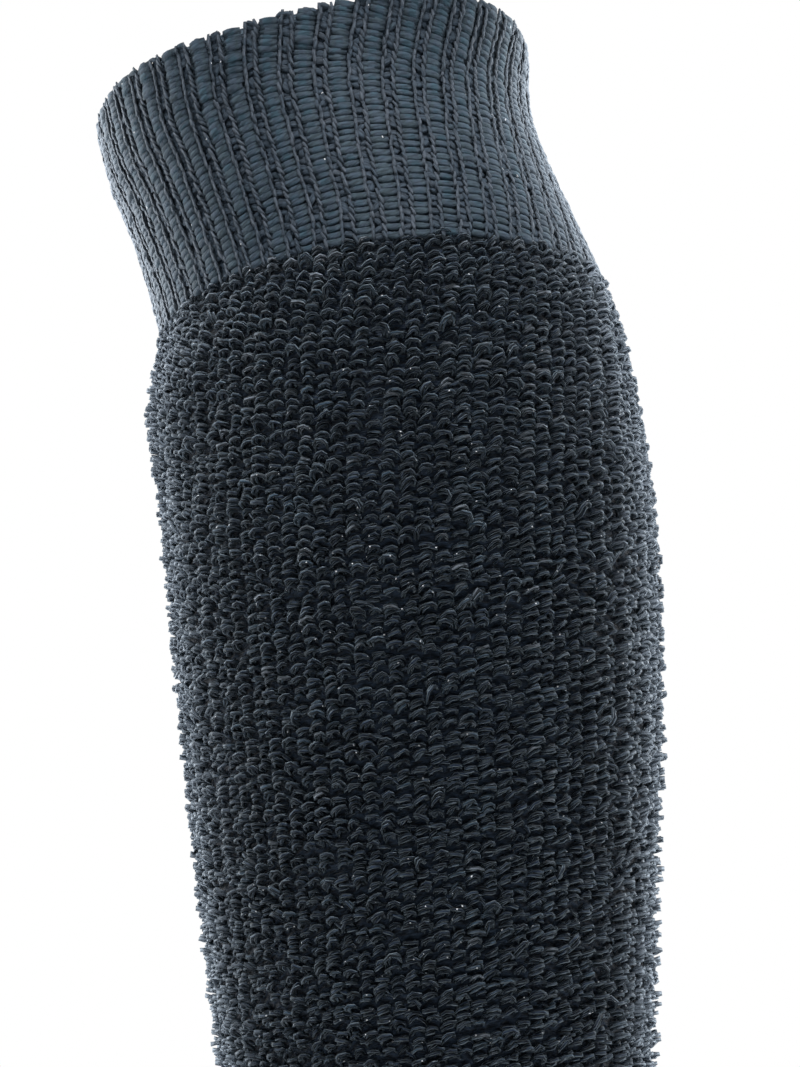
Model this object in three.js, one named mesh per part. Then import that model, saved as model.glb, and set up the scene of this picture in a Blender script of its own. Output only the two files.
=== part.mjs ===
// A knee-high thermal sock, filled out as it is worn: a ribbed cuff, a thick looped leg, a heel
// pocket, a foot tube and a toe cap. The pieces are knitted one after another on one round of
// needles, and only the toe is closed with a seam.
//
// Millimetres. +Z runs up the leg, -Y points to the toe, and X runs across the sock, which is the
// same on both sides of the plane X = 0 but for the lean of its ribs and the wave of its open
// edge. The origin is the middle of the cuff, on the leg's axis.

import * as THREE from "three";
import { mergeVertices } from "three/addons/utils/BufferGeometryUtils.js";

const { degToRad } = THREE.MathUtils;

// ---- sizes ----------------------------------------------------------------------------------

const CUFF_WALL = 2.0; // ribbed cloth, at the bottom of a groove
const TERRY_WALL = 4.5; // looped cloth, from its smooth inside to the tips of its loops
const CUFF_STEP = 1.5; // how far the looped cloth stands out past the cuff's ridges
const SHOULDER_DROP = 1.0; // the looped leg's top edge is rounded down by this much
const SHOULDER_RUN = 3.0; // and reaches its full height this far below the edge
const SEAM_GAP = 0.3; // between one knitted piece and the next

const RIB_COUNT = 50; // one knit and one purl stitch each
const RIB_HEIGHT = 1.0; // how far a knit stitch stands out from a purl one
const RIB_LAND = 0.18; // half of a ridge's flat top, as a share of a rib's width
const RIB_FOOT = 0.31; // half of a ridge's foot, as a share of a rib's width

// The sock is pulled on a little askew. Its ribs are turned round the leg by JOIN_TURN degrees at
// the foot of the cuff, and at the open edge by EDGE_TURN more on average: by EDGE_SWING more
// than that at the angle EDGE_SIDE from the front, and by as much less on the other side.
const JOIN_TURN = 10;
const EDGE_TURN = 6;
const EDGE_SWING = 22;
const EDGE_SIDE = 177;

// The open edge rises and dips by EDGE_WAVE in three waves, one of whose dips is at the angle
// EDGE_DIP from the front. The waves fade out at the second section.
const EDGE_WAVE = 1.6;
const EDGE_DIP = 108;

const ROUND_POINTS = 40; // points round a plain tube
const SHIN_NARROWING = 0.06; // a section is this much narrower in front and wider behind

// Sections of the sock's outside, from the top edge to where the toe begins. A section is a
// closed curve through a point on the front line and a point on the back line, half as wide as
// halfWidth says. Between sections the lines run on as smooth curves.
const SECTIONS = [
  { name: "top_edge", frontY: -66.5, frontZ: 19.0, backY: 46.0, backZ: 40.0, halfWidth: 52.0 },
  { name: "cuff_neck", frontY: -61.5, frontZ: 4.0, backY: 46.5, backZ: 23.5, halfWidth: 52.0 },
  { name: "cuff_middle", frontY: -54.8, frontZ: -10.5, backY: 52.5, backZ: 6.0, halfWidth: 53.0 },
  { name: "cuff_foot", frontY: -46.0, frontZ: -37.5, backY: 66.0, backZ: -24.0, halfWidth: 55.0 },
  { name: "below_knee", frontY: -47.5, frontZ: -57.0, backY: 70.8, backZ: -42.5, halfWidth: 58.0 },
  { name: "upper_calf", frontY: -44.0, frontZ: -79.0, backY: 74.4, backZ: -63.0, halfWidth: 58.5 },
  { name: "calf", frontY: -40.8, frontZ: -104.0, backY: 76.8, backZ: -88.0, halfWidth: 58.5 },
  { name: "lower_calf", frontY: -34.8, frontZ: -155.0, backY: 77.4, backZ: -135.0, halfWidth: 55.5 },
  { name: "shin", frontY: -27.6, frontZ: -206.0, backY: 75.4, backZ: -183.0, halfWidth: 52.0 },
  { name: "above_ankle", frontY: -18.5, frontZ: -264.0, backY: 74.5, backZ: -246.0, halfWidth: 46.0 },
  { name: "ankle", frontY: -15.0, frontZ: -312.0, backY: 75.0, backZ: -306.0, halfWidth: 41.5 },
  { name: "heel_top", frontY: -17.0, frontZ: -328.0, backY: 79.0, backZ: -345.0, halfWidth: 41.0 },
  { name: "heel_back", frontY: -23.0, frontZ: -337.0, backY: 83.0, backZ: -380.0, halfWidth: 41.0 },
  { name: "heel_corner", frontY: -30.0, frontZ: -342.0, backY: 66.0, backZ: -405.0, halfWidth: 41.0 },
  { name: "heel_sole", frontY: -38.0, frontZ: -346.0, backY: 28.0, backZ: -411.0, halfWidth: 40.0 },
  { name: "arch", frontY: -52.0, frontZ: -351.0, backY: -20.0, backZ: -408.0, halfWidth: 40.5 },
  { name: "instep", frontY: -76.0, frontZ: -358.0, backY: -64.0, backZ: -409.0, halfWidth: 44.0 },
  { name: "ball", frontY: -106.0, frontZ: -364.0, backY: -102.0, backZ: -411.0, halfWidth: 47.5 },
  { name: "toe_line", frontY: -136.0, frontZ: -369.0, backY: -136.0, backZ: -411.5, halfWidth: 47.0 },
];

const TOE_LENGTH = 50; // from the toe line to the tip
const TOE_BLUNTNESS = 2.3; // 2 is an ellipse from above, and a higher value is squarer
const TOE_DROP = 0.55; // the toe's top comes down to its sole by this share of its height
const TOE_SLOPE = 4; // and the whole toe leans down by this much on its way to the tip
const TOE_STEPS = 7; // rounds of points from the toe line to the tip

// ---- the sock's outside as a surface ----------------------------------------------------------

const smooth = (points) => new THREE.CatmullRomCurve3(points, false, "catmullrom", 0.5);
const frontLine = smooth(SECTIONS.map((s) => new THREE.Vector3(0, s.frontY, s.frontZ)));
const backLine = smooth(SECTIONS.map((s) => new THREE.Vector3(0, s.backY, s.backZ)));
const widthLine = smooth(SECTIONS.map((s) => new THREE.Vector3(s.halfWidth, 0, 0)));

const LAST = SECTIONS.length - 1;
const placeOf = (name) => SECTIONS.findIndex((s) => s.name === name);

// The section at a place along the sock: 0 is the first row of SECTIONS, 1 the second, and so on.
function sectionAt(place) {
  const t = place / LAST;
  const front = frontLine.getPoint(t);
  const back = backLine.getPoint(t);
  return {
    centre: front.clone().add(back).multiplyScalar(0.5),
    forward: front.clone().sub(back).normalize(),
    reach: front.distanceTo(back) / 2,
    halfWidth: widthLine.getPoint(t).x,
    wave: EDGE_WAVE * Math.max(0, 1 - place) ** 2,
  };
}

// A point of a section at an angle from the front, out mm outside it.
function pointOf(section, angle, out) {
  const across = (section.halfWidth + out) * Math.sin(angle);
  const ahead = (section.reach + out) * Math.cos(angle);
  const side = across * (1 - SHIN_NARROWING * Math.cos(angle));
  const dip = section.wave * Math.cos(3 * (angle - degToRad(EDGE_DIP)));
  return section.centre
    .clone()
    .addScaledVector(section.forward, ahead)
    .add(new THREE.Vector3(side, 0, -dip));
}

// One plain round of points of a section, out mm outside it.
function ringOf(section, out) {
  const turn = (i) => (i / ROUND_POINTS) * 2 * Math.PI;
  return Array.from({ length: ROUND_POINTS }, (_, i) => pointOf(section, turn(i), out));
}

// Sections of the toe cap, from the toe line towards the tip, closer together as they shrink.
function toeSection(share, wall) {
  const root = sectionAt(LAST);
  const along = Math.sin((share * Math.PI) / 2);
  const size = Math.pow(Math.max(0, 1 - Math.pow(along, TOE_BLUNTNESS)), 1 / TOE_BLUNTNESS);
  const reach = root.reach - wall;
  const sink = TOE_DROP * reach * (1 - size) + TOE_SLOPE * along * size;
  return {
    centre: root.centre.clone().add(new THREE.Vector3(0, -along * (TOE_LENGTH - wall), -sink)),
    forward: root.forward,
    reach: reach * size,
    halfWidth: (root.halfWidth - wall) * size,
    wave: 0,
  };
}

// ---- closed walls ------------------------------------------------------------------------------

// A skin of quads between rounds of points. outward says which way its faces point.
function skin(rings, outward, positions) {
  const count = rings[0].length;
  for (let r = 0; r + 1 < rings.length; r++) {
    for (let i = 0; i < count; i++) {
      const j = (i + 1) % count;
      const quad = [rings[r][i], rings[r][j], rings[r + 1][j], rings[r + 1][i]];
      const order = outward ? [0, 2, 1, 0, 3, 2] : [0, 1, 2, 0, 2, 3];
      for (const k of order) positions.push(quad[k].x, quad[k].y, quad[k].z);
    }
  }
}

// A closed wall from an outside and an inside. A ring of equal points closes to a pole, and its
// empty triangles are left out.
function wallGeometry(outside, inside) {
  const positions = [];
  skin(outside, true, positions);
  skin(inside, false, positions);
  skin([inside[0], outside[0]], true, positions);
  const lastOut = outside[outside.length - 1];
  const lastIn = inside[inside.length - 1];
  if (lastOut[0].distanceTo(lastOut[1]) > 0) skin([lastOut, lastIn], true, positions);
  const kept = [];
  for (let t = 0; t < positions.length; t += 9) {
    const [a, b, c] = [0, 3, 6].map((o) => new THREE.Vector3().fromArray(positions, t + o));
    const area = b.clone().sub(a).cross(c.clone().sub(a)).length() / 2;
    if (area > 1e-6) kept.push(...positions.slice(t, t + 9));
  }
  const geometry = new THREE.BufferGeometry();
  geometry.setAttribute("position", new THREE.Float32BufferAttribute(kept, 3));
  const closed = mergeVertices(geometry, 1e-4);
  closed.computeVertexNormals();
  return closed;
}

// Places from one section to another, in equal steps.
function places(from, to, steps) {
  return Array.from({ length: steps + 1 }, (_, i) => from + ((to - from) * i) / steps);
}

// How far along the list of sections a length in mm reaches at one place.
function reachOf(length, place) {
  const step = 0.05;
  const near = sectionAt(Math.max(0, place - step)).centre;
  const far = sectionAt(Math.min(LAST, place + step)).centre;
  return length * ((2 * step) / near.distanceTo(far));
}

const halfGap = (place) => reachOf(SEAM_GAP / 2, place);

// A tube of looped cloth from one named section to another, less half a seam at each end. Its top
// edge is a little lower than the rest when it has a shoulder.
function terryTube(fromName, toName, steps, shoulder) {
  const from = placeOf(fromName);
  const to = placeOf(toName);
  const top = from + halfGap(from);
  const bottom = to - halfGap(to);
  const crest = top + reachOf(SHOULDER_RUN, top);
  const stops = shoulder ? [top, ...places(crest, bottom, steps)] : places(top, bottom, steps);
  const drop = (place) => (shoulder && place === top ? -SHOULDER_DROP : 0);
  return wallGeometry(
    stops.map((place) => ringOf(sectionAt(place), drop(place))),
    stops.map((place) => ringOf(sectionAt(place), -TERRY_WALL)),
  );
}

// ---- the pieces --------------------------------------------------------------------------------

// How far a rib has turned round the leg at a section of the cuff. The turn grows evenly with
// height, from the cuff's foot to its open edge.
const CUFF_TOP = sectionAt(0).centre.z;
const CUFF_BASE = sectionAt(placeOf("cuff_foot")).centre.z;
function ribTurn(section, angle) {
  const height = (section.centre.z - CUFF_BASE) / (CUFF_TOP - CUFF_BASE);
  const swing = EDGE_SWING * Math.cos(angle - degToRad(EDGE_SIDE));
  return degToRad(JOIN_TURN + height * (EDGE_TURN + swing));
}

// The cuff's ribs: a ridge of knit stitches and a groove of purl ones, with sloping flanks. A rib
// has four points, at the two edges of its ridge's top and at the two feet of its flanks.
function ribbedRing(section, inwards) {
  const corners = [-RIB_FOOT, -RIB_LAND, RIB_LAND, RIB_FOOT];
  const groove = -CUFF_STEP - RIB_HEIGHT;
  return Array.from({ length: RIB_COUNT * corners.length }, (_, i) => {
    const corner = i % corners.length;
    const rib = (i - corner) / corners.length;
    const angle = ((rib + corners[corner]) / RIB_COUNT) * 2 * Math.PI;
    const onRidge = corner === 1 || corner === 2;
    const out = inwards ? groove - CUFF_WALL : groove + (onRidge ? RIB_HEIGHT : 0);
    return pointOf(section, angle + ribTurn(section, angle), out);
  });
}

function ribCuff() {
  const foot = placeOf("cuff_foot");
  const stops = places(0, foot - halfGap(foot), 6);
  return wallGeometry(
    stops.map((place) => ribbedRing(sectionAt(place), false)),
    stops.map((place) => ribbedRing(sectionAt(place), true)),
  );
}

const terryLeg = () => terryTube("cuff_foot", "ankle", 12, true);
const heelTurn = () => terryTube("ankle", "arch", 10, false);
const footTube = () => terryTube("arch", "toe_line", 5, false);

// The toe cap is open where it joins the foot and closes to a rounded tip.
function toeCap() {
  const shares = places(SEAM_GAP / TOE_LENGTH, 1, TOE_STEPS);
  const rings = (wall) => shares.map((share) => ringOf(toeSection(share, wall), 0));
  return wallGeometry(rings(0), rings(TERRY_WALL));
}

// ---- the sock ----------------------------------------------------------------------------------

const knit = (color, roughness) => new THREE.MeshStandardMaterial({ color, roughness, metalness: 0 });
const RIB_COLOUR = 0x3e4850; // blue-grey wool and nylon
const TERRY_COLOUR = 0x2b3138; // charcoal wool with a little blue

const sock = new THREE.Group();
const PIECES = [
  { name: "rib_cuff", make: ribCuff, material: knit(RIB_COLOUR, 0.85) },
  { name: "terry_leg", make: terryLeg, material: knit(TERRY_COLOUR, 0.95) },
  { name: "heel_turn", make: heelTurn, material: knit(TERRY_COLOUR, 0.95) },
  { name: "terry_foot", make: footTube, material: knit(TERRY_COLOUR, 0.95) },
  { name: "toe_cap", make: toeCap, material: knit(TERRY_COLOUR, 0.95) },
];
for (const { name, make, material } of PIECES) {
  const mesh = new THREE.Mesh(make(), material);
  mesh.name = name;
  sock.add(mesh);
}

export default sock;
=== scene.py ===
"""A knee-high thermal sock, filled out as it is worn: ribbed cuff, looped leg, heel, foot and toe.

Metres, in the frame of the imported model: +Z up the leg, -Y to the toe, X across the sock. Sizes in
the sections below are in millimetres, as a knitter's are, and MM turns them into metres. Only the
sheets' flat sizes, the camera's distance and the lights are given in metres.
"""

import math

import bpy
import numpy as np
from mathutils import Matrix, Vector


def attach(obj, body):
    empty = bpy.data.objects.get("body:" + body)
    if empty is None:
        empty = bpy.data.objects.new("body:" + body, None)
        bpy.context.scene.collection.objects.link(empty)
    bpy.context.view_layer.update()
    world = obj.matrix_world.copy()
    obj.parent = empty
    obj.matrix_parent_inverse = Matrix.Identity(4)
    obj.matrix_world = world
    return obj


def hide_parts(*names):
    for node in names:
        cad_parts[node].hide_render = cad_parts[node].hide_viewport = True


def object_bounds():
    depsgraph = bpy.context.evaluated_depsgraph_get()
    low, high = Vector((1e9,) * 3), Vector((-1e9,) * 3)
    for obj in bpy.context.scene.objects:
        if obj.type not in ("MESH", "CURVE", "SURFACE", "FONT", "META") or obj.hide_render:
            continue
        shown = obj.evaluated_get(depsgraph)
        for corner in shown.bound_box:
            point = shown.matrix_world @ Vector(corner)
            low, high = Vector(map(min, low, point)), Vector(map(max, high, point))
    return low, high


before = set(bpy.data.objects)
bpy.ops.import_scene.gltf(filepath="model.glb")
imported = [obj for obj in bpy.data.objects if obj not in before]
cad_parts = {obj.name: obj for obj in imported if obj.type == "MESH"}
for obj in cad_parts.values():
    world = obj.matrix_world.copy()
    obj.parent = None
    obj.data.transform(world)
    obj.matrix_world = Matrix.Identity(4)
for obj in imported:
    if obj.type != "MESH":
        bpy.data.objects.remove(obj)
cad_box = [list(corner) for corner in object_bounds()]

# ---- the worn form ------------------------------------------------------------------------------
# The leg inside the sock gives it its form. A section is a closed curve through a point on the
# front line and a point on the back line. The knitted pieces are all laid on this one surface.

# Each section's front y and z, back y and z, and half width.
SECTIONS = {
    "top_edge": (-66.5, 19.0, 46.0, 40.0, 52.0),
    "cuff_neck": (-61.5, 4.0, 46.5, 23.5, 52.0),
    "cuff_middle": (-54.8, -10.5, 52.5, 6.0, 53.0),
    "cuff_foot": (-46.0, -37.5, 66.0, -24.0, 55.0),
    "below_knee": (-47.5, -57.0, 70.8, -42.5, 58.0),
    "upper_calf": (-44.0, -79.0, 74.4, -63.0, 58.5),
    "calf": (-40.8, -104.0, 76.8, -88.0, 58.5),
    "lower_calf": (-34.8, -155.0, 77.4, -135.0, 55.5),
    "shin": (-27.6, -206.0, 75.4, -183.0, 52.0),
    "above_ankle": (-18.5, -264.0, 74.5, -246.0, 46.0),
    "ankle": (-15.0, -312.0, 75.0, -306.0, 41.5),
    "heel_top": (-17.0, -328.0, 79.0, -345.0, 41.0),
    "heel_back": (-23.0, -337.0, 83.0, -380.0, 41.0),
    "heel_corner": (-30.0, -342.0, 66.0, -405.0, 41.0),
    "heel_sole": (-38.0, -346.0, 28.0, -411.0, 40.0),
    "arch": (-52.0, -351.0, -20.0, -408.0, 40.5),
    "instep": (-76.0, -358.0, -64.0, -409.0, 44.0),
    "ball": (-106.0, -364.0, -102.0, -411.0, 47.5),
    "toe_line": (-136.0, -369.0, -136.0, -411.5, 47.0),
}
PLACE = {name: row for row, name in enumerate(SECTIONS)}
TOE_LINE = PLACE["toe_line"]
TOE_TIP = TOE_LINE + 1
SHIN_NARROWING = 0.06
TOE_LENGTH = 50.0
TOE_BLUNTNESS = 2.3
TOE_DROP = 0.55
TOE_SLOPE = 4.0
EDGE_WAVES = 3
EDGE_WAVE = 1.6
EDGE_DIP = math.radians(108)

section_rows = np.array([SECTIONS[name] for name in SECTIONS])
padded_rows = np.vstack(
    [2 * section_rows[0] - section_rows[1], section_rows, 2 * section_rows[-1] - section_rows[-2]]
)


def section_at(place):
    """The section table's columns at any place: a Catmull-Rom curve through its rows, in which each
    row's slope is half the step from the row before it to the row after it."""
    row = np.clip(np.floor(place).astype(int), 0, TOE_LINE - 1)
    t = (np.minimum(place, TOE_LINE) - row)[..., None]
    before, here, there, after = (padded_rows[row + k] for k in range(4))
    leave, arrive = (there - before) / 2, (after - here) / 2
    return (
        (2 * here - 2 * there + leave + arrive) * t**3
        + (3 * there - 3 * here - 2 * leave - arrive) * t**2
        + leave * t
        + here
    )


def form(place, angle, out):
    """A point of the sock, out mm outside its form. angle is 0 on the shin and half a turn on the
    calf. Round a section a point goes as (width sin angle, reach cos angle); past the toe line the
    section shrinks as a superellipse, (1 - along^n)^(1/n), and sinks towards the sole. The open
    edge rises and dips in three waves, cos 3 (angle - EDGE_DIP), that fade down the cuff."""
    place, angle, out = np.broadcast_arrays(
        *(np.asarray(value, float) for value in (place, angle, out))
    )
    front_y, front_z, back_y, back_z, half_width = np.moveaxis(section_at(place), -1, 0)
    span = np.hypot(front_y - back_y, front_z - back_z)
    along = np.sin(np.clip(place - TOE_LINE, 0, 1) * math.pi / 2)
    size = np.maximum(0, 1 - along**TOE_BLUNTNESS) ** (1 / TOE_BLUNTNESS)
    reach = (span / 2 + out) * size
    width = (half_width + out) * size
    sink = TOE_DROP * (span / 2 + out) * (1 - size) + TOE_SLOPE * along * size
    wave = EDGE_WAVE * np.cos(EDGE_WAVES * (angle - EDGE_DIP)) * np.clip(1 - place, 0, 1) ** 2
    ahead = reach * np.cos(angle)
    x = width * np.sin(angle) * (1 - SHIN_NARROWING * np.cos(angle))
    y = (front_y + back_y) / 2 + (front_y - back_y) / span * ahead - along * (TOE_LENGTH + out)
    z = (front_z + back_z) / 2 + (front_z - back_z) / span * ahead - sink - wave
    return np.stack([x, y, z], -1)


# The sock is pulled on a little askew. Its wales, the columns of stitches, run straight up from the
# foot, turn round the leg by JOIN_TURN on their way up the calf, and in the cuff turn further.

CALF_TURN_ENDS = 6.5
JOIN_TURN = math.radians(10)
EDGE_TURN = math.radians(6)
EDGE_SWING = math.radians(22)
EDGE_SIDE = math.radians(177)


def askew(place, angle):
    """The turn of a wale at a place: up the calf a smooth step, 3t^2 - 2t^3, to JOIN_TURN, and up
    the cuff EDGE_TURN + EDGE_SWING cos(angle - EDGE_SIDE) more, evenly with height."""
    join = PLACE["cuff_foot"]
    t = np.clip((CALF_TURN_ENDS - place) / (CALF_TURN_ENDS - join), 0, 1)
    middle_z = section_at(np.asarray(place, float))[..., [1, 3]].mean(-1)
    base_z, top_z = (section_rows[row, [1, 3]].mean() for row in (join, 0))
    height = np.clip((middle_z - base_z) / (top_z - base_z), 0, None)
    return JOIN_TURN * (3 * t**2 - 2 * t**3) + height * (
        EDGE_TURN + EDGE_SWING * np.cos(angle - EDGE_SIDE)
    )


def cloth(place, wale, out):
    """A point of the cloth: on the form, at a place down the wale that starts at an angle."""
    return form(place, wale + askew(place, wale), out)


# ---- the ground of the cloth --------------------------------------------------------------------
# Under its ribs and loops the sock is one thin, smooth jersey, knitted in rounds. Each knitted
# piece has its own stretch of it, as a tube with a wall.

MM = 0.001
TURN = 2 * math.pi
GROUND_IN = -4.5
GROUND_OUT = -3.3
GROUND_ROUND = 88


def mesh_object(name, points, quads, uv, ends=(), end_uv=(), attributes=()):
    """A mesh from arrays in millimetres: points, quads as rows of four numbers, ends as rows of as
    many numbers as an end has corners, uv for each corner, and named values or vectors for the
    points."""
    sides = np.full(len(quads), 4)
    corners, corner_uv = quads.reshape(-1), uv.reshape(-1, 2)
    if len(ends):
        sides = np.concatenate([sides, np.full(len(ends), ends.shape[1])])
        corners = np.concatenate([corners, ends.reshape(-1)])
        corner_uv = np.concatenate([corner_uv, end_uv.reshape(-1, 2)])
    mesh = bpy.data.meshes.new(name)
    mesh.vertices.add(len(points))
    mesh.loops.add(len(corners))
    mesh.polygons.add(len(sides))
    mesh.vertices.foreach_set("co", (points * MM).astype(np.float32).reshape(-1))
    mesh.loops.foreach_set("vertex_index", corners.astype(np.int32))
    mesh.polygons.foreach_set("loop_start", (np.cumsum(sides) - sides).astype(np.int32))
    mesh.polygons.foreach_set("use_smooth", np.ones(len(sides), bool))
    mesh.update(calc_edges=True)
    for attribute, values in dict(attributes).items():
        single = values.ndim == 1
        layer = mesh.attributes.new(attribute, "FLOAT" if single else "FLOAT_VECTOR", "POINT")
        layer.data.foreach_set("value" if single else "vector", values.astype(np.float32).ravel())
    layer = mesh.uv_layers.new(name="yarn")
    layer.data.foreach_set("uv", corner_uv.astype(np.float32).reshape(-1))
    mesh.validate()
    piece = bpy.data.objects.new(name, mesh)
    bpy.context.scene.collection.objects.link(piece)
    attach(piece, "root")
    return piece


def grid_corners(rows, columns):
    """The quads of a grid that closes on itself round its columns: the row and the column of each
    corner, with columns itself, not 0, as the last column's far side."""
    row, column = np.meshgrid(np.arange(rows - 1), np.arange(columns), indexing="ij")
    return row.reshape(-1, 1) + [0, 1, 1, 0], column.reshape(-1, 1) + [0, 0, 1, 1]


def ground_piece(name, start, end, rows):
    """A stretch of jersey tube: an outer and an inner grid of points of the cloth, joined by a ring
    of quads at each open end. The toe's tip is closed by one small face inside and out."""
    place = np.linspace(start, end, rows)
    wale = np.arange(GROUND_ROUND) / GROUND_ROUND * TURN
    walls = [cloth(place[:, None], wale[None, :], out) for out in (GROUND_OUT, GROUND_IN)]
    count = rows * GROUND_ROUND
    row, column = grid_corners(rows, GROUND_ROUND)
    outer = row * GROUND_ROUND + column % GROUND_ROUND
    steps = np.linalg.norm(np.diff(cloth(place, math.pi / 2, 0), axis=0), axis=-1)
    length = np.concatenate([[0], np.cumsum(steps)])
    uv = np.stack([column / GROUND_ROUND, length[row]], -1)
    here = np.arange(GROUND_ROUND)
    beside = (here + 1) % GROUND_ROUND
    rim = np.stack([here, beside, count + beside, count + here], -1)
    quads = [outer, count + outer[:, ::-1], rim]
    uvs = [uv, uv[:, ::-1], np.zeros((GROUND_ROUND, 4, 2))]
    last = count - GROUND_ROUND
    ends, end_uv = (), ()
    if end > TOE_LINE:
        ends = np.stack([last + here[::-1], last + count + here])
        end_uv = np.zeros((*ends.shape, 2))
    else:
        edge = [last + here, last + count + here, last + count + beside, last + beside]
        quads.append(np.stack(edge, -1))
        uvs.append(np.zeros((GROUND_ROUND, 4, 2)))
    points = np.concatenate([wall.reshape(-1, 3) for wall in walls])
    return mesh_object(name, points, np.concatenate(quads), np.concatenate(uvs), ends, end_uv)


# ---- yarn ---------------------------------------------------------------------------------------
# All of the sock is one thick, soft wool yarn of a few strands, charcoal with odd blue and brown
# hairs in it, and a finer blue-grey one beside it in the cuff. Each stitch is a short piece of it.

UV_TUBES = 512
GLINTS_ALONG = 3.5
GLINTS_ROUND = 9.0
TUBE_APART = 0.37
# Pale colour of a painted sheen, mixed in where the cloth turns away at its outline.
PAINTED_RIM_SHEEN_COLOUR = (0.31, 0.36, 0.43, 1.0)
# Near-white colour of painted glints: tiny specks of highlight put into the yarn's colour.
PAINTED_GLINT_COLOUR = (0.95, 0.97, 1.0, 1.0)
SHEEN_COLOUR = (0.7, 0.87, 1.0, 1.0)


def unit(vectors):
    """Vectors brought to length 1, or left at 0."""
    return vectors / np.maximum(np.linalg.norm(vectors, axis=-1, keepdims=True), 1e-9)


def yarn_piece(name, path, start, radius, sides, tint, outward):
    """One mesh of many closed yarn tubes. path is (tubes, points, 3), and a tube's ring round it is
    radius (cos p start + sin p (along x start)), for p from 0 to a whole turn. The uv is the
    millimetres along the yarn and the turns round it, with a whole number more for each tube, up
    to UV_TUBES. Each point keeps the direction straight out of the cloth, and a tint, which is
    given for each tube or for each of its rings."""
    tubes, steps = path.shape[:2]
    along = unit(np.gradient(path, axis=1))
    start = unit(start - along * (start * along).sum(-1, keepdims=True))
    phase = (np.arange(sides) / sides * TURN)[:, None]
    other = np.cross(along, start)
    ring = np.cos(phase) * start[:, :, None] + np.sin(phase) * other[:, :, None]
    points = (path[:, :, None] + ring * radius[..., None, None]).reshape(-1, 3)
    first = (np.arange(tubes) * steps * sides)[:, None, None]
    row, column = grid_corners(steps, sides)
    quads = (row * sides + column % sides)[None, :, ::-1] + first
    run = np.linalg.norm(np.diff(path, axis=1), axis=-1)
    run = np.concatenate([np.zeros((tubes, 1)), np.cumsum(run, axis=1)], axis=1)
    turns = np.arange(tubes)[:, None, None] % UV_TUBES + column[None, :, ::-1] / sides
    uv = np.stack([run[:, row[:, ::-1]], turns], -1)
    side = np.arange(sides)
    ends = np.stack([side[::-1], (steps - 1) * sides + side])[None] + first
    end_uv = np.zeros((*ends.shape, 2))
    values = {
        "tint": np.repeat(np.broadcast_to(tint.reshape(tubes, -1), (tubes, steps)), sides),
        "outward": np.repeat(outward, steps * sides, axis=0),
    }
    return mesh_object(
        name, points, quads.reshape(-1, 4), uv, ends.reshape(-1, sides), end_uv, values
    )


def add_node(tree, kind, inputs=(), **settings):
    """A shader node with its settings. An input is a value, or another node's output to link."""
    made = tree.nodes.new(kind)
    for key, value in settings.items():
        setattr(made, key, value)
    for socket, value in dict(inputs).items():
        if isinstance(value, bpy.types.NodeSocket):
            tree.links.new(value, made.inputs[socket])
        else:
            made.inputs[socket].default_value = value
    return made


def calculate(tree, operation, *inputs):
    """The output of a maths node."""
    return add_node(tree, "ShaderNodeMath", enumerate(inputs), operation=operation).outputs[0]


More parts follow.
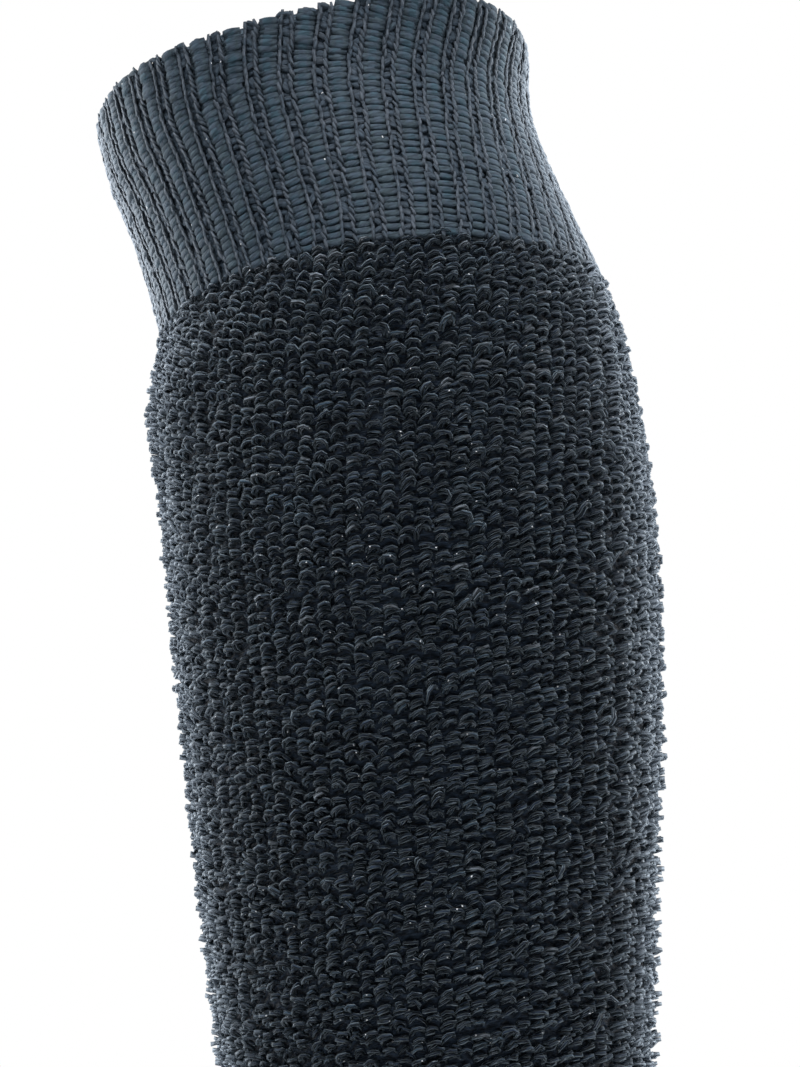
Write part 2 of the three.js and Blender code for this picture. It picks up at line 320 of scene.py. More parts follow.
def wool_strands_group():
    """Wool yarn by its uv. Strands lie side by side and turn slowly round it, as the height of
    |sin| with sharp valleys between them, and painted shade darkens the valleys in the colour;
    hairs are noise drawn out along it; a slower noise changes its colour; and a few tiny cells of
    it are marked for painted glints. It takes the number of strands, their lay (mm to a turn), the
    strength of the painted shade in the valleys, the strength of the hairs and the share of
    painted glints."""
    group = bpy.data.node_groups.new("wool_strands", "ShaderNodeTree")
    for name in ("Strands", "Lay", "Depth", "Hairs", "Glints"):
        group.interface.new_socket(name, in_out="INPUT", socket_type="NodeSocketFloat")
    for name in ("Shade", "Change", "Glint", "Height"):
        group.interface.new_socket(name, in_out="OUTPUT", socket_type="NodeSocketFloat")
    entry = group.nodes.new("NodeGroupInput").outputs
    leave = group.nodes.new("NodeGroupOutput").inputs
    uv = add_node(group, "ShaderNodeUVMap", uv_map="yarn").outputs[0]
    run, turns = add_node(group, "ShaderNodeSeparateXYZ", {0: uv}).outputs[:2]

    twisted = calculate(group, "DIVIDE", run, entry["Lay"])
    wound = calculate(group, "MULTIPLY_ADD", turns, entry["Strands"], twisted)
    crest = calculate(group, "SINE", calculate(group, "MULTIPLY", wound, math.pi))
    strand = calculate(group, "ABSOLUTE", crest)

    def noise(along, round_it, detail):
        place = add_node(
            group,
            "ShaderNodeCombineXYZ",
            {
                0: calculate(group, "MULTIPLY", run, along),
                1: calculate(group, "MULTIPLY", wound, round_it),
                2: calculate(group, "MULTIPLY", turns, TUBE_APART),
            },
        )
        inputs = {"Vector": place.outputs[0], "Scale": 1.0, "Detail": detail}
        return add_node(group, "ShaderNodeTexNoise", inputs).outputs[0]

    hairs = noise(along=0.55, round_it=2.3, detail=2.0)
    change = noise(along=0.22, round_it=0.5, detail=1.0)
    streak = {0: hairs, "From Min": 0.36, "From Max": 0.64, "To Min": -1.0, "To Max": 1.0}
    streak = add_node(group, "ShaderNodeMapRange", streak).outputs[0]
    # Painted shade: the valleys between the strands are darkened in the colour.
    valley = calculate(group, "SUBTRACT", 1.0, calculate(group, "POWER", strand, 1.5))
    shade = calculate(group, "SUBTRACT", 1.0, calculate(group, "MULTIPLY", valley, entry["Depth"]))
    hairy = calculate(group, "MULTIPLY_ADD", streak, entry["Hairs"], 1.0)
    shade = calculate(group, "MULTIPLY", shade, hairy)
    group.links.new(shade, leave["Shade"])
    group.links.new(calculate(group, "SUBTRACT", change, 0.5), leave["Change"])
    height = calculate(group, "MULTIPLY_ADD", streak, 0.2, calculate(group, "POWER", strand, 0.6))
    group.links.new(height, leave["Height"])

    # Painted glints: a few tiny cells along the yarn are marked for a near-white colour.
    cell = add_node(
        group,
        "ShaderNodeCombineXYZ",
        {
            0: calculate(group, "FLOOR", calculate(group, "MULTIPLY", run, GLINTS_ALONG)),
            1: calculate(group, "FLOOR", calculate(group, "MULTIPLY", turns, GLINTS_ROUND)),
        },
    )
    chance = add_node(group, "ShaderNodeTexWhiteNoise", {0: cell.outputs[0]}).outputs[0]
    group.links.new(calculate(group, "LESS_THAN", chance, entry["Glints"]), leave["Glint"])
    return group


wool_strands = wool_strands_group()


def yarn_material(name, colours, strands, relief, sheen, rim_sheen, softness):
    """Yarn of several colours. Each tube's tint, changed a little along it, picks from the list, and
    the wool_strands group's painted shade in the valleys and random hair streaks multiply it; its
    painted glints turn a few tiny cells near white. strands is what the wool_strands group takes,
    and relief the height of its strands in mm. Where the cloth turns away, a pale painted sheen of
    its fine hairs is mixed into the colour: rim_sheen facing^4 of it, for facing 0 square on and 1
    at the cloth's own outline. Softness is how far the yarn is shaded as the cloth it lies in, and
    not as a round thing."""
    material = bpy.data.materials.new(name)
    material.use_nodes = True
    tree = material.node_tree
    shader = tree.nodes["Principled BSDF"]
    shader.inputs["Roughness"].default_value = 0.75
    shader.inputs["Specular IOR Level"].default_value = 0.18
    shader.inputs["Sheen Weight"].default_value = sheen
    shader.inputs["Sheen Roughness"].default_value = 0.4
    shader.inputs["Sheen Tint"].default_value = SHEEN_COLOUR
    wool = add_node(tree, "ShaderNodeGroup", node_tree=wool_strands)
    for key, value in strands.items():
        wool.inputs[key].default_value = value
    tint = add_node(tree, "ShaderNodeAttribute", attribute_name="tint").outputs["Fac"]
    tint = calculate(tree, "MULTIPLY_ADD", wool.outputs["Change"], 0.8, tint)
    ramp = add_node(tree, "ShaderNodeValToRGB", {0: tint})
    stops = ramp.color_ramp.elements
    while len(stops) < len(colours):
        stops.new(0.5)
    for stop, (place, colour) in zip(stops, colours):
        stop.position = place
        stop.color = (*colour, 1.0)
    # The wool's painted shade in the strand valleys, with its hair streaks, multiplies the colour.
    shaded = {"Factor": 1.0, "A": ramp.outputs[0], "B": wool.outputs["Shade"]}
    shaded = add_node(tree, "ShaderNodeMix", shaded, data_type="RGBA", blend_type="MULTIPLY")
    # Painted highlight: the marked cells take the near-white colour of painted glints.
    painted_glint = {"Factor": wool.outputs["Glint"], "A": shaded.outputs["Result"], "B": PAINTED_GLINT_COLOUR}
    painted_glint = add_node(tree, "ShaderNodeMix", painted_glint, data_type="RGBA")
    outward = add_node(tree, "ShaderNodeAttribute", attribute_name="outward").outputs["Vector"]
    # Painted sheen: towards the cloth's outline a pale colour is mixed in, by how far the cloth
    # turns away.
    facing = {"Blend": 0.5, "Normal": outward}
    facing = add_node(tree, "ShaderNodeLayerWeight", facing).outputs["Facing"]
    painted_sheen_share = calculate(tree, "MULTIPLY", calculate(tree, "POWER", facing, 4.0), rim_sheen)
    painted_fuzz_sheen = {"Factor": painted_sheen_share, "A": painted_glint.outputs["Result"], "B": PAINTED_RIM_SHEEN_COLOUR}
    painted_fuzz_sheen = add_node(tree, "ShaderNodeMix", painted_fuzz_sheen, data_type="RGBA")
    bump = {"Height": wool.outputs["Height"], "Strength": 1.0, "Distance": relief * MM}
    bump = add_node(tree, "ShaderNodeBump", bump)
    soft = {"Factor": softness, "A": bump.outputs[0], "B": outward}
    soft = add_node(tree, "ShaderNodeMix", soft, data_type="VECTOR").outputs["Result"]
    soft = add_node(tree, "ShaderNodeVectorMath", {0: soft}, operation="NORMALIZE").outputs[0]
    tree.links.new(painted_fuzz_sheen.outputs["Result"], shader.inputs["Base Color"])
    tree.links.new(soft, shader.inputs["Normal"])
    return material


# ---- the rib cuff -------------------------------------------------------------------------------
# A band of one knit stitch and one purl stitch, 50 of each in a round, stretched wide by the leg.
# The purl stitches lie as short bars in the grooves, and the knit ones stand out as pairs of legs.
# It is cast on at its open edge and knitted down into the leg.

RIBS = 50
CUFF_ROWS = 38
CUFF_RIDGE = -1.5
CUFF_START = 0.0
CUFF_END = PLACE["cuff_foot"]
CUFF_HALF_WIDTH = 52.0
FIRST_ROW = 0.6
ROWS_IN_ALL = CUFF_ROWS + 0.4
ROWS_WIDEN = 1.1
PILE_MIDDLE = -1.5
WALE_STEPS = 400
STITCH_RESIZED = 0.06
STITCH_THICKNESS = 0.09
# The bar ends' tint: the ridge's yarn colour, and painted shade where they sink under the legs.
BAR_END_TINT_AND_SHADE = 0.56

rng = np.random.default_rng(7)


def wale_lengths(start, end, wales):
    """Along each wale from a start to an end: places, and the length in mm to each of them, as the
    sum of short straight steps along the middle of the pile."""
    places = np.linspace(start, end, WALE_STEPS)
    line = cloth(places[:, None], wales[None, :], PILE_MIDDLE)
    steps = np.linalg.norm(np.diff(line, axis=0), axis=-1)
    return places, np.vstack([np.zeros(len(wales)), np.cumsum(steps, axis=0)])


def drift(count, rows, size, waves=3):
    """Slow wandering of count lines over their rows: a sum of a few waves of random place."""
    place = np.linspace(0, 1, rows)[None, :, None]
    turns = rng.uniform(0.7, 3.5, (count, 1, waves))
    start = rng.uniform(0, TURN, (count, 1, waves))
    return (np.sin(turns * TURN * place + start) * size / math.sqrt(waves)).sum(-1)


def directions(place, wale):
    """At points of the cloth: across the wale, up it, and straight out of the cloth."""
    step, last = 0.01, TOE_TIP - 0.001
    low, high = np.clip(place - step, 0, last), np.clip(place + step, 0, last)
    up = unit(cloth(low, wale, 0) - cloth(high, wale, 0))
    across = cloth(place, wale + step, 0) - cloth(place, wale - step, 0)
    across = unit(across - up * (across * up).sum(-1, keepdims=True))
    return across, up, np.cross(across, up)


def laid(place, wale, out, shape):
    """Small shapes laid on the cloth: shape is (stitches, points, 3), the mm across the wale, up it
    and out of the cloth from a point that lies out mm outside the form."""
    axes = np.stack(directions(place, wale), -2)
    return cloth(place, wale, out)[:, None, :] + shape @ axes


rib_wales = np.arange(RIBS) / RIBS * TURN
rib_places, rib_lengths = wale_lengths(CUFF_START, CUFF_END, rib_wales)
row_share = ((np.arange(CUFF_ROWS) + FIRST_ROW) / ROWS_IN_ALL) ** ROWS_WIDEN
rib_place = np.stack([np.interp(row_share * line[-1], line, rib_places) for line in rib_lengths.T])
rib_wale = rib_wales[:, None] + drift(RIBS, CUFF_ROWS, 0.15 / CUFF_HALF_WIDTH)
course = rib_lengths[-1].mean() / ROWS_IN_ALL
rib_width = TURN * CUFF_HALF_WIDTH / RIBS


def stitches(name, place, wale, out, points, radius, sides, tint, turn, shift, flat=0):
    """One short yarn on each stitch, along the path that its points give as laid() does, each a
    little turned, resized and shifted. Flat 1 turns each yarn's ring by half a side, so that a
    four-sided one lies on its side."""
    place, wale = place.reshape(-1), wale.reshape(-1)
    count = len(place)
    lean = rng.normal(0, turn, count)[:, None]
    path = points * (1 + rng.normal(0, STITCH_RESIZED, (count, 1, 3)))
    x = path[..., 0] * np.cos(lean) - path[..., 1] * np.sin(lean)
    y = path[..., 0] * np.sin(lean) + path[..., 1] * np.cos(lean)
    path = np.stack([x, y, path[..., 2]], -1) + rng.normal(0, shift, (count, 1, 3))
    path = laid(place, wale, out, path)
    thick = radius * (1 + rng.normal(0, STITCH_THICKNESS, (count, 1)))
    up, outward = directions(place, wale)[1:]
    start = np.broadcast_to((flat * up - outward)[:, None], path.shape)
    return yarn_piece(name, path, start, thick, sides, tint, outward)


def jersey_material(name, dark, light, wales, course):
    """Smooth knitting seen between stitches and inside: wales round the sock and courses along it,
    as rows of V stitches. The height is a sine along each wale, leaned by how far across it a
    point is from the wale's middle, and short streaks across the wales roughen it. The colour
    follows the height from dark to light, painted shade in the low parts of the stitches with the
    random tone of the streaks."""
    material = bpy.data.materials.new(name)
    material.use_nodes = True
    tree = material.node_tree
    shader = tree.nodes["Principled BSDF"]
    shader.inputs["Roughness"].default_value = 0.9
    shader.inputs["Specular IOR Level"].default_value = 0.2
    shader.inputs["Sheen Weight"].default_value = 0.2
    uv = add_node(tree, "ShaderNodeUVMap", uv_map="yarn").outputs[0]
    round_it, along = add_node(tree, "ShaderNodeSeparateXYZ", {0: uv}).outputs[:2]
    across = calculate(tree, "PINGPONG", calculate(tree, "MULTIPLY", round_it, wales), 0.5)
    leaned = calculate(tree, "MULTIPLY_ADD", along, 1 / course, across)
    stitch = calculate(tree, "SINE", calculate(tree, "MULTIPLY", leaned, TURN))
    place = {
        0: calculate(tree, "MULTIPLY", round_it, wales * 1.5),
        1: calculate(tree, "MULTIPLY", along, 4.5 / course),
    }
    place = add_node(tree, "ShaderNodeCombineXYZ", place).outputs[0]
    streaks = {"Vector": place, "Scale": 1.0, "Detail": 3.0}
    streaks = add_node(tree, "ShaderNodeTexNoise", streaks).outputs[0]
    height = calculate(tree, "MULTIPLY_ADD", stitch, 0.15, streaks)
    # Painted shade: the low parts of the knitting take the dark colour, the raised ones the light.
    spread = {0: height, "From Min": 0.3, "From Max": 0.75}
    ramp = {0: add_node(tree, "ShaderNodeMapRange", spread).outputs[0]}
    ramp = add_node(tree, "ShaderNodeValToRGB", ramp)
    for stop, colour in zip(ramp.color_ramp.elements, (dark, light)):
        stop.color = (*colour, 1.0)
    bump = {"Height": height, "Strength": 1.0, "Distance": 1.2 * MM}
    bump = add_node(tree, "ShaderNodeBump", bump)
    tree.links.new(ramp.outputs[0], shader.inputs["Base Color"])
    tree.links.new(bump.outputs[0], shader.inputs["Normal"])
    return material


cuff_ground = ground_piece("cuff_ground", CUFF_START, CUFF_END, rows=18)
cuff_back = jersey_material(
    "cuff_back",
    dark=(0.040, 0.066, 0.094),
    light=(0.084, 0.125, 0.168),
    wales=RIBS * 2,
    course=course,
)
cuff_ground.data.materials.append(cuff_back)

# The purl bars: each lies across a groove, highest in its middle, and sinks at its ends, which take
# the ridge's darker tint, partly the colour of its yarn and partly painted shade where they sink
# under the legs. Towards the open edge they lie closer and straighter, and are bluer.
s = np.array([-1, -0.24, 0.24, 1])
sag = (0.25 + 0.55 * row_share)[:, None]
bar = np.broadcast_arrays(s * 0.3 * rib_width, sag * (s**2 - 0.35), 0.3 - 0.8 * s**2)
bar_radius = (1.15 - 0.16 * row_share)[:, None] * (1 - 0.12 * s**2)
bar_tint = 0.04 + 0.18 * row_share + rng.normal(0, 0.05, (RIBS, 1))
bar_tint = np.clip(bar_tint + rng.normal(0, 0.05, (RIBS, CUFF_ROWS)), 0, 0.28)
bar_tint = np.where(abs(s) == 1, BAR_END_TINT_AND_SHADE, bar_tint[..., None])
purl_bars = stitches(
    "purl_bars",
    rib_place,
    rib_wale + 0.5 * TURN / RIBS,
    out=CUFF_RIDGE - 1.0,
    points=np.tile(np.stack(bar, -1), (RIBS, 1, 1)),
    radius=np.tile(bar_radius, (RIBS, 1)),
    sides=4,
    tint=bar_tint,
    turn=0.05,
    shift=0.08,
    flat=1,
)

# The knit legs: two to a stitch, long, steep and thin, closer together at the top. The yarn's twist
# leans both of them to one side.
s = np.linspace(-1, 1, 3)
up, proud = s * course * 0.8, 0.2 * s - 0.3 * s**2
legs = [
    np.stack([(way * (0.2 - 0.03 * s) - 0.03 * s) * rib_width, up, proud], -1) for way in (-1, 1)
]
knit_legs = stitches(
    "knit_legs",
    np.stack([rib_place, rib_place]),
    np.stack([rib_wale, rib_wale]),
    out=CUFF_RIDGE - 0.4,
    points=np.repeat(legs, RIBS * CUFF_ROWS, axis=0),
    radius=np.array([0.34, 0.5, 0.34])[None, :],
    sides=3,
    tint=rng.uniform(0.7, 0.95, 2 * RIBS * CUFF_ROWS),
    turn=0.09,
    shift=0.12,
)

# Between a stitch's legs its soft head fills the ridge.
head = np.stack([s * 0.19 * rib_width, -0.5 * s, -0.2 * s**2], -1)
knit_heads = stitches(
    "knit_heads",
    rib_place,
    rib_wale,
    out=CUFF_RIDGE - 1.2,
    points=np.broadcast_to(head, (RIBS * CUFF_ROWS, 3, 3)),
    radius=np.array([0.8, 0.92, 0.8])[None, :],
    sides=3,
    tint=rng.uniform(0.55, 0.68, RIBS * CUFF_ROWS),
    turn=0.6,
    shift=0.18,
)


ARCH_START = 0.04
ARCH_UNEVEN = 0.09
PLY_APART = 0.9
PLY_TINT = 0.16


def arches(name, place, wale, out, size, steps, sides, radius, lean, turn, tint, plies=1):
    """Arches of yarn: across as -cos t, up the cloth as sin t and out of it as sin t^0.75, for t
    over half a turn. size is (stitches, 3): half the width, and the heights up and out, in mm. An
    arch leans to one side by lean mm and is turned on the cloth by turn. It swells in the middle.
    Its plies are wound round the middle of the yarn, each at cos a inwards + sin a sideways."""
    t = np.linspace(ARCH_START, 1 - ARCH_START, steps)[None, :] * math.pi
    arch = np.sin(t)
    wide, tall, proud = (size[:, k : k + 1] for k in range(3))
    x = -wide * np.cos(t) * (1 + 0.25 * arch) + lean[:, None] * arch
    y = tall * arch
    cos, sin = np.cos(turn)[:, None], np.sin(turn)[:, None]
    shape = np.stack([x * cos - y * sin, x * sin + y * cos, proud * arch**0.75], -1)
    shape = shape + rng.normal(0, ARCH_UNEVEN, shape.shape)
    path = laid(place, wale, out, shape)
    crown = path[:, steps // 2] - (path[:, 0] + path[:, -1]) / 2
    plane = np.cross(path[:, -1] - path[:, 0], crown)[:, None]
    inwards = unit(np.cross(np.gradient(path, axis=1), plane))
    thick = radius[:, None] * (0.74 + 0.3 * arch)
    outward = directions(place, wale)[2]
    if plies == 1:
        return yarn_piece(name, path, inwards, thick, sides, tint, outward)
    wound = rng.uniform(0, TURN, (len(place), 1)) + rng.uniform(0.4, 1.1, (len(place), 1)) * t
    sideways = np.cross(unit(np.gradient(path, axis=1)), inwards)
    strands = []
    for ply in range(plies):
        angle = (wound + TURN * ply / plies)[..., None]
        beside = np.cos(angle) * inwards + np.sin(angle) * sideways
        strands.append(path + PLY_APART * thick[..., None] * beside)
    tint = np.concatenate([tint + rng.normal(0, PLY_TINT, len(tint)) for _ in range(plies)])
    inwards, thick, outward = (np.concatenate([v] * plies) for v in (inwards, thick, outward))
    return yarn_piece(name, np.concatenate(strands), inwards, thick, sides, tint, outward)


# The open edge: every stitch is cast on, as a small uneven arch, higher on the knit ones.
EDGE_PLACE = 0.03
edge_count = RIBS * 2
edge_wale = np.arange(edge_count) / edge_count * TURN + rng.normal(0, 0.008, edge_count)
on_knit = np.arange(edge_count) % 2 == 0
edge_size = np.stack(
    [
        rng.uniform(0.8, 1.6, edge_count),
        np.where(on_knit, rng.uniform(0.2, 0.9, edge_count), rng.uniform(0.0, 0.3, edge_count)),
        rng.uniform(0.1, 0.6, edge_count),
    ],
    -1,
)
edge_loops = arches(
    "edge_loops",
    np.full(edge_count, EDGE_PLACE),
    edge_wale,
    out=CUFF_RIDGE - 1.0,
    size=edge_size,
    steps=7,
    sides=5,
    radius=rng.uniform(0.5, 0.8, edge_count),
    lean=rng.normal(0, 0.4, edge_count),
    turn=rng.normal(0, 0.3, edge_count),
    tint=rng.uniform(0.2, 0.9, edge_count),
)

CUFF_COLOURS = [
    (0.0, (0.048, 0.090, 0.122)),
    (0.15, (0.064, 0.090, 0.126)),
    (0.3, (0.062, 0.093, 0.116)),
    (0.52, (0.058, 0.082, 0.113)),
    (0.68, (0.057, 0.079, 0.108)),
    (0.8, (0.076, 0.097, 0.125)),
    (1.0, (0.108, 0.130, 0.164)),
]
cuff_strands = {"Strands": 4.0, "Lay": 5.0, "Depth": 0.2, "Hairs": 0.3, "Glints": 0.0003}
cuff_yarn = yarn_material(
    "cuff_yarn", CUFF_COLOURS, cuff_strands, relief=0.2, sheen=0.25, rim_sheen=1.0, softness=0.75
)
for piece in (purl_bars, knit_legs, knit_heads, edge_loops):
    piece.data.materials.append(cuff_yarn)
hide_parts("rib_cuff")

# ---- the looped terry ---------------------------------------------------------------------------
# Every stitch of the leg and foot draws a long loop of the thick yarn out of the ground. The loops
# stand off the cloth, lean up the leg over each other, and no two lie quite alike. The wales stand
# in columns, some a little higher or lighter than others.

WALES = 88
LOOP_ROW = 2.4
LOOP_FOOT = -3.8
PLY_RADIUS = 0.53
LEAN_SIDE = math.radians(105)
STRAY_SHARE = 0.05
LOWEST_BY_CUFF = 0.66
SETTLES_OVER = 0.5
PAINTED_SHADE_DOWN_LEG = 0.045
JOIN_ROW = 0.14
JOIN_TINT = 0.3
WIDEST_LOOP = 4.6
column_rise = rng.normal(0, 0.55, WALES)
column_tint = rng.normal(0, 0.15, WALES)

TERRY_COLOURS = [
    (0.0, (0.007, 0.013, 0.028)),
    (0.3, (0.018, 0.031, 0.057)),
    (0.5, (0.038, 0.052, 0.074)),
    (0.7, (0.032, 0.060, 0.094)),
    (0.85, (0.072, 0.082, 0.098)),
    (1.0, (0.152, 0.172, 0.208)),
]
terry_strands = {"Strands": 4.0, "Lay": 7.0, "Depth": 0.95, "Hairs": 1.0, "Glints": 0.003}
terry_yarn = yarn_material(
    "terry_yarn", TERRY_COLOURS, terry_strands, relief=0.45, sheen=0.4, rim_sheen=3.0, softness=0.0
)
terry_back = jersey_material(
    "terry_back",
    dark=(0.003, 0.007, 0.014),
    light=(0.036, 0.058, 0.095),
    wales=WALES,
    course=LOOP_ROW,
)


def loop_places(start, end, wales, pitch, first):
    """Where loops stand: along each wale one every pitch mm, from first mm below the start."""
    starts = (np.arange(wales) + 0.5) / wales * TURN
    places, lengths = wale_lengths(start, end, starts)
    stands = [np.arange(below, line[-1], pitch) for line, below in zip(lengths.T, first)]
    place = np.concatenate([np.interp(at, line, places) for at, line in zip(stands, lengths.T)])
    wale = np.repeat(starts, [len(at) for at in stands])
    return place, wale


def under_loops(name, place, wale, width):
    """Lower loops of a single ply, which fill the gaps between the others."""
    count = len(place)
    place = place + rng.normal(0.02, 0.01, count)
    wale = wale + TURN / WALES * rng.uniform(0.35, 0.65, count)
    wide = width * rng.uniform(0.26, 0.4, count)
    tall, proud = rng.uniform((0.2, 0.9), (1.0, 1.9), (count, 2)).T
    size = np.stack([wide, tall, proud], -1)
    lean, turn = rng.normal(0, 0.4, (2, count))
    radius = PLY_RADIUS * rng.uniform(0.9, 1.3, count)
    # Painted shade: these lower loops take only the darker half of the tints, as they lie under the
    # others.
    tint = 0.5 * rng.beta(1.7, 2.6, count)
    loops = arches(name, place, wale, LOOP_FOOT, size, 4, 3, radius, lean, turn, tint)
    loops.data.materials.append(terry_yarn)
    return loops


def terry_loops(name, place, wale, steps, plies, width):
    """Loops of the thick yarn, as wide as their wale has room for, each of its own size, lean and
    turn. STRAY_SHARE of them are strays, which stand out further or lie askew. Just below the cuff
    the loops are lower, and their first row takes more of its tint; down the leg their tint falls,
    painted shade that makes the lower leg darker."""
    count = len(place)
    column = (wale / TURN * WALES).astype(int) % WALES
    stray = rng.random(count) < STRAY_SHARE
    below = np.clip((place - CUFF_END) / SETTLES_OVER, 0, 1)
    settled = LOWEST_BY_CUFF + (1 - LOWEST_BY_CUFF) * below
    size = np.stack(
        [
            width * rng.uniform(0.24, 0.38, count) * np.where(stray, 1.2, 1),
            rng.uniform(0.2, 1.0, count) + np.where(stray, 0.9, 0),
            rng.uniform(2.0, 3.1, count) * settled + np.where(stray, 0.4, column_rise[column]),
        ],
        -1,
    )
    aside = np.cos(wale - LEAN_SIDE)
    lean = 0.2 + 0.32 * aside + rng.normal(0, 0.3, count)
    turn = 0.05 + 0.21 * aside + rng.normal(0, 0.16, count) * np.where(stray, 3, 1)
    radius = PLY_RADIUS * (3 - plies) ** 0.6 * rng.uniform(0.82, 1.18, count)
    # Painted shade: the tint falls steadily from the cuff to the ankle, so the lower leg is darker.
    darker = PAINTED_SHADE_DOWN_LEG * (np.minimum(place, PLACE["ankle"]) - CUFF_END)
    beside_cuff = JOIN_TINT * (place < CUFF_END + JOIN_ROW)
    tint = rng.beta(1.7, 2.6, count) + column_tint[column] - darker + beside_cuff
    loops = arches(name, place, wale, LOOP_FOOT, size, steps, 3, radius, lean, turn, tint, plies)
    loops.data.materials.append(terry_yarn)
    return loops


def terry_section(cad_node, ground, bands, place, wale):
    """One knitted piece: its ground as (name, start, end, rows) and its loops in bands as (name,
    end, steps, plies), from the loop places that lie in it."""
    ground = ground_piece(*ground)
    ground.data.materials.append(terry_back)
    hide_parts(cad_node)
    pieces, low, step = [], -1.0, 0.01
    for name, end, steps, plies in bands:
        chosen = (place >= low) & (place < end)
        at, on = place[chosen], wale[chosen]
        width = np.linalg.norm(cloth(at, on + step, 0) - cloth(at, on, 0), axis=-1)
        width = np.minimum(width / step * TURN / WALES, WIDEST_LOOP)
        pieces.append(terry_loops(name, at, on, steps, plies, width))
        if plies > 1:
            under = name.replace("loops", "under_loops")
            pieces.append(under_loops(under, at[::2], on[::2], width[::2]))
        low = end


# Half the gap at a seam, as a share of the step from one section to the next.
SEAM = 0.01

leg_first = rng.uniform(-1.4, 1.2, WALES)
place, wale = loop_places(CUFF_END, PLACE["ankle"], WALES, LOOP_ROW, leg_first)
place = place + rng.normal(0, 0.008, len(place))
wale = wale + rng.normal(0, 0.003, len(wale))
terry_section(
    "terry_leg",
    ("leg_ground", CUFF_END + SEAM, PLACE["ankle"] - SEAM, 60),
    [
        ("leg_loops_top", PLACE["calf"], 6, 2),
        ("leg_loops_calf", PLACE["lower_calf"] + 0.5, 6, 2),
        ("leg_loops_shin", PLACE["above_ankle"] - 0.2, 5, 2),
        ("leg_loops_ankle", TOE_TIP, 5, 1),
    ],
    place,
    wale,
)

# ---- the heel and foot --------------------------------------------------------------------------
# The same looped cloth goes on round the heel, which is knitted to and fro in short rows so that it
# bulges into a pocket, and in plain rounds along the foot. Its rows are a little taller there.

FOOT_ROW = 3.0
FOOT_FIRST = 0.8

heel_end = PLACE["arch"]
foot_first = np.full(WALES, FOOT_FIRST)
place, wale = loop_places(PLACE["ankle"], heel_end, WALES, FOOT_ROW, foot_first)
wale = wale + rng.normal(0, 0.006, len(wale))
terry_section(
    "heel_turn",
    ("heel_ground", PLACE["ankle"] + SEAM, heel_end - SEAM, 40),
    [("heel_loops", TOE_TIP, 4, 1)],
    place,
    wale,
)

place, wale = loop_places(heel_end, TOE_LINE, WALES, FOOT_ROW, foot_first)
wale = wale + rng.normal(0, 0.006, len(wale))
terry_section(
    "terry_foot",
    ("foot_ground", heel_end + SEAM, TOE_LINE - SEAM, 20),
    [("foot_loops", TOE_TIP, 4, 1)],
    place,
    wale,
)

# ---- the toe cap --------------------------------------------------------------------------------
# The toe is the same looped cloth, knitted narrower round by round. Its last few stitches are drawn
# together, which closes the tip.

TOE_LOOP = 3.3

toe_places, toe_lengths = wale_lengths(TOE_LINE + SEAM, TOE_TIP - SEAM, np.array([TURN / 4]))
toe_stands = np.arange(FOOT_FIRST, toe_lengths[-1, 0], FOOT_ROW)
toe_rows = np.interp(toe_stands, toe_lengths[:, 0], toe_places)
toe_round = cloth(toe_rows[:, None], np.linspace(0, TURN, 60)[None, :], PILE_MIDDLE)
toe_round = np.linalg.norm(np.diff(toe_round, axis=1), axis=-1).sum(1)
toe_counts = np.maximum(3, np.round(toe_round / TOE_LOOP)).astype(int)
place = np.repeat(toe_rows, toe_counts)
wale = np.concatenate([(np.arange(count) + rng.random()) / count for count in toe_counts]) * TURN
terry_section(
    "toe_cap",
    ("toe_ground", TOE_LINE + SEAM, TOE_TIP - SEAM / 2, 16),
    [("toe_loops", TOE_TIP, 4, 1)],
    place,
    wale,
)

# ---- the room -----------------------------------------------------------------------------------
# A white room with no corners, soft light from above and from behind on both sides, and a long lens
# at the height of the lower shin, turned a little upwards. Away from the sock the pale floor fades
# into the white.

FLOOR_SIZE = 8
FADE_STARTS = 0.15
FADE_ENDS = 0.7

floor_z = cad_box[0][2]
bpy.ops.mesh.primitive_plane_add(size=FLOOR_SIZE, location=(0, 0, floor_z))
floor = bpy.context.object
floor.name = "floor"
floor_material = bpy.data.materials.new("pale_floor")
floor_material.use_nodes = True
tree = floor_material.node_tree
floor_shader = tree.nodes["Principled BSDF"]
floor_shader.inputs["Base Color"].default_value = (0.8, 0.8, 0.8, 1)
floor_shader.inputs["Roughness"].default_value = 0.9
place = add_node(tree, "ShaderNodeTexCoord").outputs["Object"]
far = add_node(tree, "ShaderNodeVectorMath", {0: place}, operation="LENGTH").outputs["Value"]
far = {0: far, "From Min": FADE_STARTS, "From Max": FADE_ENDS}
far = add_node(tree, "ShaderNodeMapRange", far, interpolation_type="SMOOTHSTEP").outputs[0]
seen = add_node(tree, "ShaderNodeLightPath").outputs["Is Camera Ray"]
white = add_node(tree, "ShaderNodeEmission", {"Color": (1, 1, 1, 1), "Strength": 1.0}).outputs[0]
white_share = calculate(tree, "MULTIPLY", far, seen)
surface = {0: white_share, 1: floor_shader.outputs[0], 2: white}
surface = add_node(tree, "ShaderNodeMixShader", surface).outputs[0]
tree.links.new(surface, tree.nodes["Material Output"].inputs["Surface"])
floor.data.materials.append(floor_material)

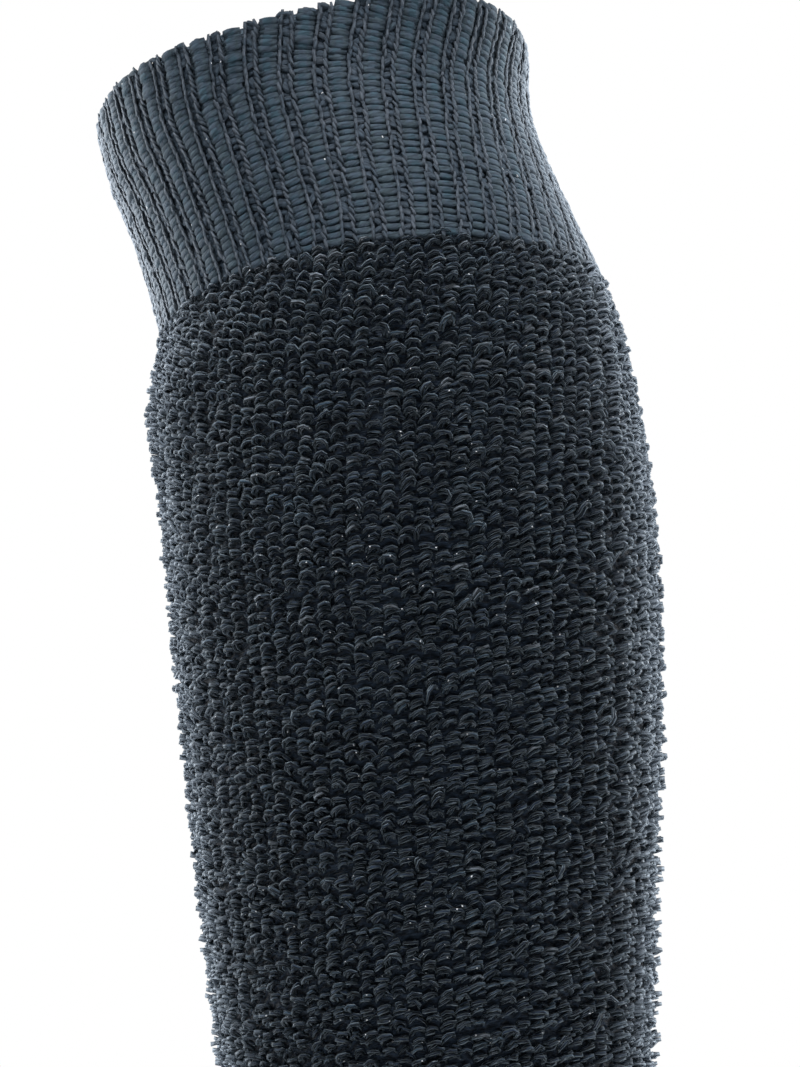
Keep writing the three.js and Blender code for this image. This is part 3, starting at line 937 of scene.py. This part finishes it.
# The camera sees the room pure white, and the sock is lit by a dimmer white.
world = bpy.data.worlds.new("studio")
bpy.context.scene.world = world
world.use_nodes = True
tree = world.node_tree
seen = tree.nodes["Background"].outputs[0]
tree.nodes["Background"].inputs["Color"].default_value = (1, 1, 1, 1)
FILL = {"Color": (0.78, 0.93, 1.0, 1), "Strength": 0.095}
fill = add_node(tree, "ShaderNodeBackground", FILL).outputs[0]
is_camera = add_node(tree, "ShaderNodeLightPath").outputs["Is Camera Ray"]
room = add_node(tree, "ShaderNodeMixShader", {0: is_camera, 1: fill, 2: seen})
tree.links.new(room.outputs[0], tree.nodes["World Output"].inputs["Surface"])

AIM = np.array([-2.9, 13.6, -84.0]) * MM
AZIMUTH = math.radians(118)
ELEVATION = math.radians(-12)
DISTANCE = 0.84
LENS = 118.1
SENSOR = 36
NEAREST = 0.01
outwards = np.array([math.sin(AZIMUTH), -math.cos(AZIMUTH), 0])
above = np.array([0, 0, 1.0])
back = outwards * math.cos(ELEVATION) + above * math.sin(ELEVATION)
right = np.cross(above, outwards)


def look(thing, place, towards):
    """Stands a camera or a light at a place, facing along a direction."""
    thing.location = Vector(place)
    thing.rotation_mode = "QUATERNION"
    thing.rotation_quaternion = Vector(towards).to_track_quat("-Z", "Y")
    bpy.context.scene.collection.objects.link(thing)


camera = bpy.data.objects.new("camera", bpy.data.cameras.new("camera"))
camera.data.lens = LENS
camera.data.sensor_width = SENSOR
camera.data.clip_start = NEAREST
look(camera, AIM + back * DISTANCE, -back)
bpy.context.scene.camera = camera

# Each light's metres across, towards the camera and up from the aim, its size in m and its watts.
LIGHTS = {
    "left_light": (-1.3, -1.3, 0.25, 2.0, 100),
    "right_light": (1.3, -1.3, 0.25, 2.0, 90),
    "top_light": (0.0, 0.4, 0.85, 0.5, 9),
}
for name, (across, forward, up, size, watts) in LIGHTS.items():
    data = bpy.data.lights.new(name, "AREA")
    data.size = size
    data.energy = watts
    offset = right * across + outwards * forward + above * up
    light = bpy.data.objects.new(name, data)
    look(light, AIM + offset, -offset)

bpy.context.scene.view_settings.view_transform = "Standard"

bpy.context.view_layer.update()
